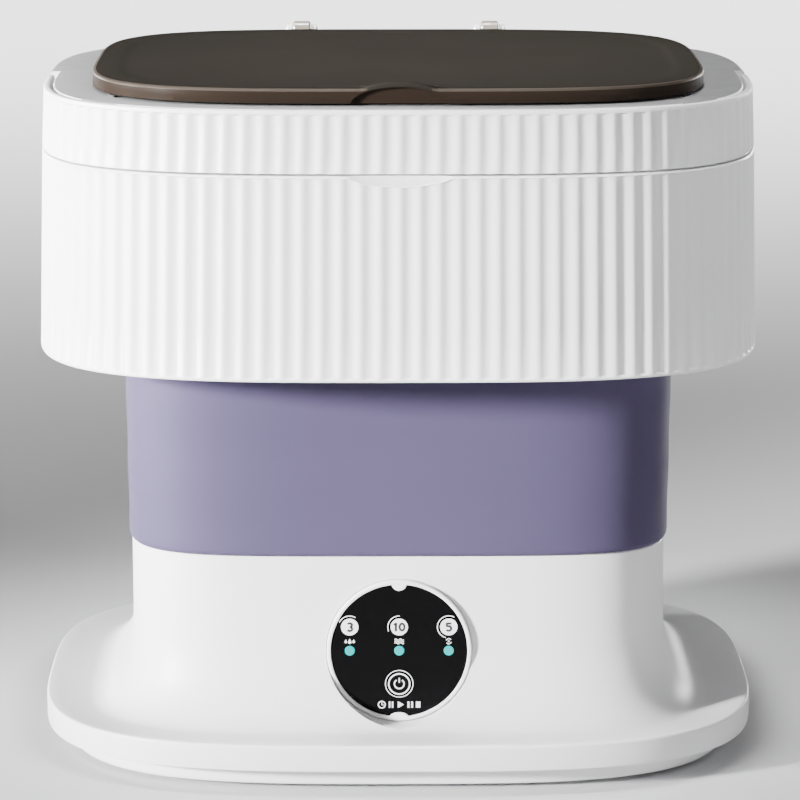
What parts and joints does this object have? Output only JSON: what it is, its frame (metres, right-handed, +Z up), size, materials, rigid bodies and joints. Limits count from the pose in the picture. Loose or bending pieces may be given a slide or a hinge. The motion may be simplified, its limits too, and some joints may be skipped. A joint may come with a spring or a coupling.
{
  "type": "portable folding mini washer",
  "caption": "Folding mini washer: drive base with round control panel, soft collapsible tub, fluted upper housing with bail handle and hinged smoked lid.",
  "frame": {"origin": "on the floor under the middle of the base", "axes": "+X to the right seen from the front, -Y towards the front panel, +Z up"},
  "size_m": [0.3166, 0.2694, 0.3043],
  "materials": {
    "white_shell": "satin moulded plastic",
    "lilac_soft_tub": "matte soft elastomer",
    "smoked_lid": "smoked translucent plastic",
    "black_glass": "gloss black panel",
    "cyan_lamp": "lit light guide",
    "dark_plastic": "fine texture",
    "steel": "plain",
    "green_board": "solder mask",
    "rubber": "matte",
    "gear_plastic": "natural acetal"
  },
  "bodies": {
    "base": {"base_shell": "white_shell", "base_plate": "white_shell", "base_screw_1": "steel", "base_screw_2": "steel", "base_screw_3": "steel", "base_screw_4": "steel", "base_screw_5": "steel", "base_screw_6": "steel", "foot_front_left": "rubber", "foot_front_right": "rubber", "foot_rear_left": "rubber", "foot_rear_right": "rubber", "panel_bezel": "white_shell", "panel_glass": "black_glass", "indicator_lens_left": "cyan_lamp", "indicator_lens_middle": "cyan_lamp", "indicator_lens_right": "cyan_lamp", "control_board": "green_board", "button_switch": "dark_plastic", "lower_tub": "white_shell", "tub_clamp_ring": "white_shell", "folding_tub": "lilac_soft_tub", "bearing_lower": "steel", "bearing_upper": "steel", "shaft_seal": "rubber", "motor": "dark_plastic", "motor_bracket": "steel", "drain_outlet": "white_shell", "power_inlet": "dark_plastic"},
    "housing": {"deck": "white_shell", "skirt_shell": "white_shell", "upper_tub_ring": "white_shell", "handle_pivot_left": "steel", "handle_pivot_right": "steel", "hinge_pin_left": "steel", "hinge_pin_right": "steel"},
    "lid": {"lid": "smoked_lid", "lid_bumper_left": "rubber", "lid_bumper_right": "rubber"},
    "handle": {"carry_handle": "white_shell"},
    "pulsator": {"pulsator": "white_shell", "pulsator_screw": "steel", "pulsator_shaft": "steel", "drive_gear": "gear_plastic"},
    "pinion": {"motor_pinion": "gear_plastic", "motor_shaft": "steel"},
    "button": {"panel_button": "dark_plastic"},
    "drain_plug": {"drain_plug": "rubber"}
  },
  "joints": [
    {"name": "collapse", "type": "slide", "parent": "base", "child": "housing", "axis": [0, 0, 1], "range_m": [-0.156, 0], "deforming": ["folding_tub"]},
    {"name": "lid_hinge", "type": "hinge", "parent": "housing", "child": "lid", "pos_m": [0, 0.1175, 0.3004], "axis": [-1, 0, 0], "range_deg": [0, 100]},
    {"name": "handle_swing", "type": "hinge", "parent": "housing", "child": "handle", "pos_m": [0, -0.008, 0.2805], "axis": [-1, 0, 0], "range_deg": [0, 90]},
    {"name": "pulsator_spin", "type": "hinge", "parent": "base", "child": "pulsator", "pos_m": [0, 0, 0.05], "axis": [0, 0, 1], "continuous": true},
    {"name": "pinion_spin", "type": "hinge", "parent": "base", "child": "pinion", "pos_m": [-0.045, 0, 0.018], "axis": [0, 0, 1], "continuous": true},
    {"name": "button_press", "type": "slide", "parent": "base", "child": "button", "axis": [0, 1, 0], "range_m": [0, 0.0008], "stiffness_N_per_m": 1500, "springref_m": -0.0003},
    {"name": "drain_pull", "type": "slide", "parent": "base", "child": "drain_plug", "axis": [0, 1, 0], "range_m": [0, 0.016]}
  ],
  "couplings": [
    {"joint": "pinion_spin", "follows": "pulsator_spin", "ratio": -4}
  ]
}
